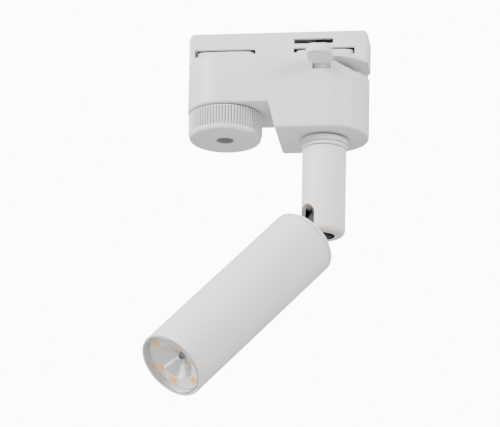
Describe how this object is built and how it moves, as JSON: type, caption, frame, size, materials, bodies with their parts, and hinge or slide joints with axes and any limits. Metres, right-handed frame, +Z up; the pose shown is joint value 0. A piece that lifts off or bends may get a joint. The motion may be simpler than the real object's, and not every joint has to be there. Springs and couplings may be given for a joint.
{
  "type": "track spotlight",
  "caption": "Slim LED track spotlight: two-wire track adapter with lock knob and contact lever, swivel stem with a side slot, and a tilting tubular head.",
  "frame": {"origin": "centre of the flat top of the adapter's neck, the part that slides into the track", "axes": "+Z up towards the track, X along the track with the lock knob at -X, -Y towards the lever side"},
  "size_m": [0.0939, 0.0854, 0.186],
  "materials": {
    "adapter_white": "fine satin moulded",
    "lamp_white": "matt powder coat",
    "cam_white": "smooth nylon",
    "brass": "stamped",
    "contact_copper": "stamped copper alloy",
    "zinc_steel": "zinc plated",
    "chrome": "bright plated",
    "aluminium": "as machined",
    "board_green": "circuit board",
    "board_white": "white solder mask",
    "dark_plastic": "moulded",
    "phosphor": "phosphor gel",
    "lens_clear": "clear moulded lens"
  },
  "bodies": {
    "adapter": {"adapter_housing": "adapter_white", "neck_cover": "adapter_white", "rotor_bearing": "dark_plastic", "live_terminal": "brass", "neutral_terminal": "brass", "swivel_bushing": "adapter_white"},
    "lock_knob": {"lock_knob": "adapter_white", "lock_shaft": "cam_white", "lock_washer": "zinc_steel", "lock_cam": "cam_white", "knob_screw": "zinc_steel"},
    "contact_rotor": {"contact_rotor": "cam_white", "rotor_cam": "cam_white", "live_blade": "contact_copper", "neutral_blade": "contact_copper", "contact_lever": "adapter_white"},
    "stem": {"stem_collar": "lamp_white", "swivel_nipple": "zinc_steel", "swivel_washer": "zinc_steel", "swivel_nut": "zinc_steel", "stem_nut": "zinc_steel", "stem_tube": "lamp_white", "pivot_fork": "zinc_steel", "pivot_screw": "zinc_steel", "pivot_nut": "zinc_steel"},
    "head": {"head_knuckle": "chrome", "knuckle_nut": "zinc_steel", "rear_cap": "lamp_white", "head_barrel": "lamp_white", "driver_board": "board_green", "driver_capacitor": "dark_plastic", "driver_transformer": "dark_plastic", "heat_sink": "aluminium", "led_board": "board_white", "led_chip_1": "phosphor", "led_chip_2": "phosphor", "led_chip_3": "phosphor", "led_chip_4": "phosphor", "led_chip_5": "phosphor", "led_chip_6": "phosphor", "lens": "lens_clear", "lens_ring": "zinc_steel", "lens_screw": "dark_plastic"}
  },
  "joints": [
    {"name": "lock_knob_turn", "type": "hinge", "parent": "adapter", "child": "lock_knob", "pos_m": [-0.0248, 0, -0.044], "axis": [0, 0, 1], "range_deg": [0, 90]},
    {"name": "contact_lever_turn", "type": "hinge", "parent": "adapter", "child": "contact_rotor", "pos_m": [0.0213, 0, -0.0185], "axis": [0, 0, 1], "range_deg": [0, 90]},
    {"name": "head_pan", "type": "hinge", "parent": "adapter", "child": "stem", "pos_m": [0.0213, 0, -0.054], "axis": [0, 0, 1], "range_deg": [-175, 175]},
    {"name": "head_tilt", "type": "hinge", "parent": "stem", "child": "head", "pos_m": [0.0213, 0, -0.0917], "axis": [-0.6691, 0.7431, 0], "range_deg": [-44, 46]}
  ]
}
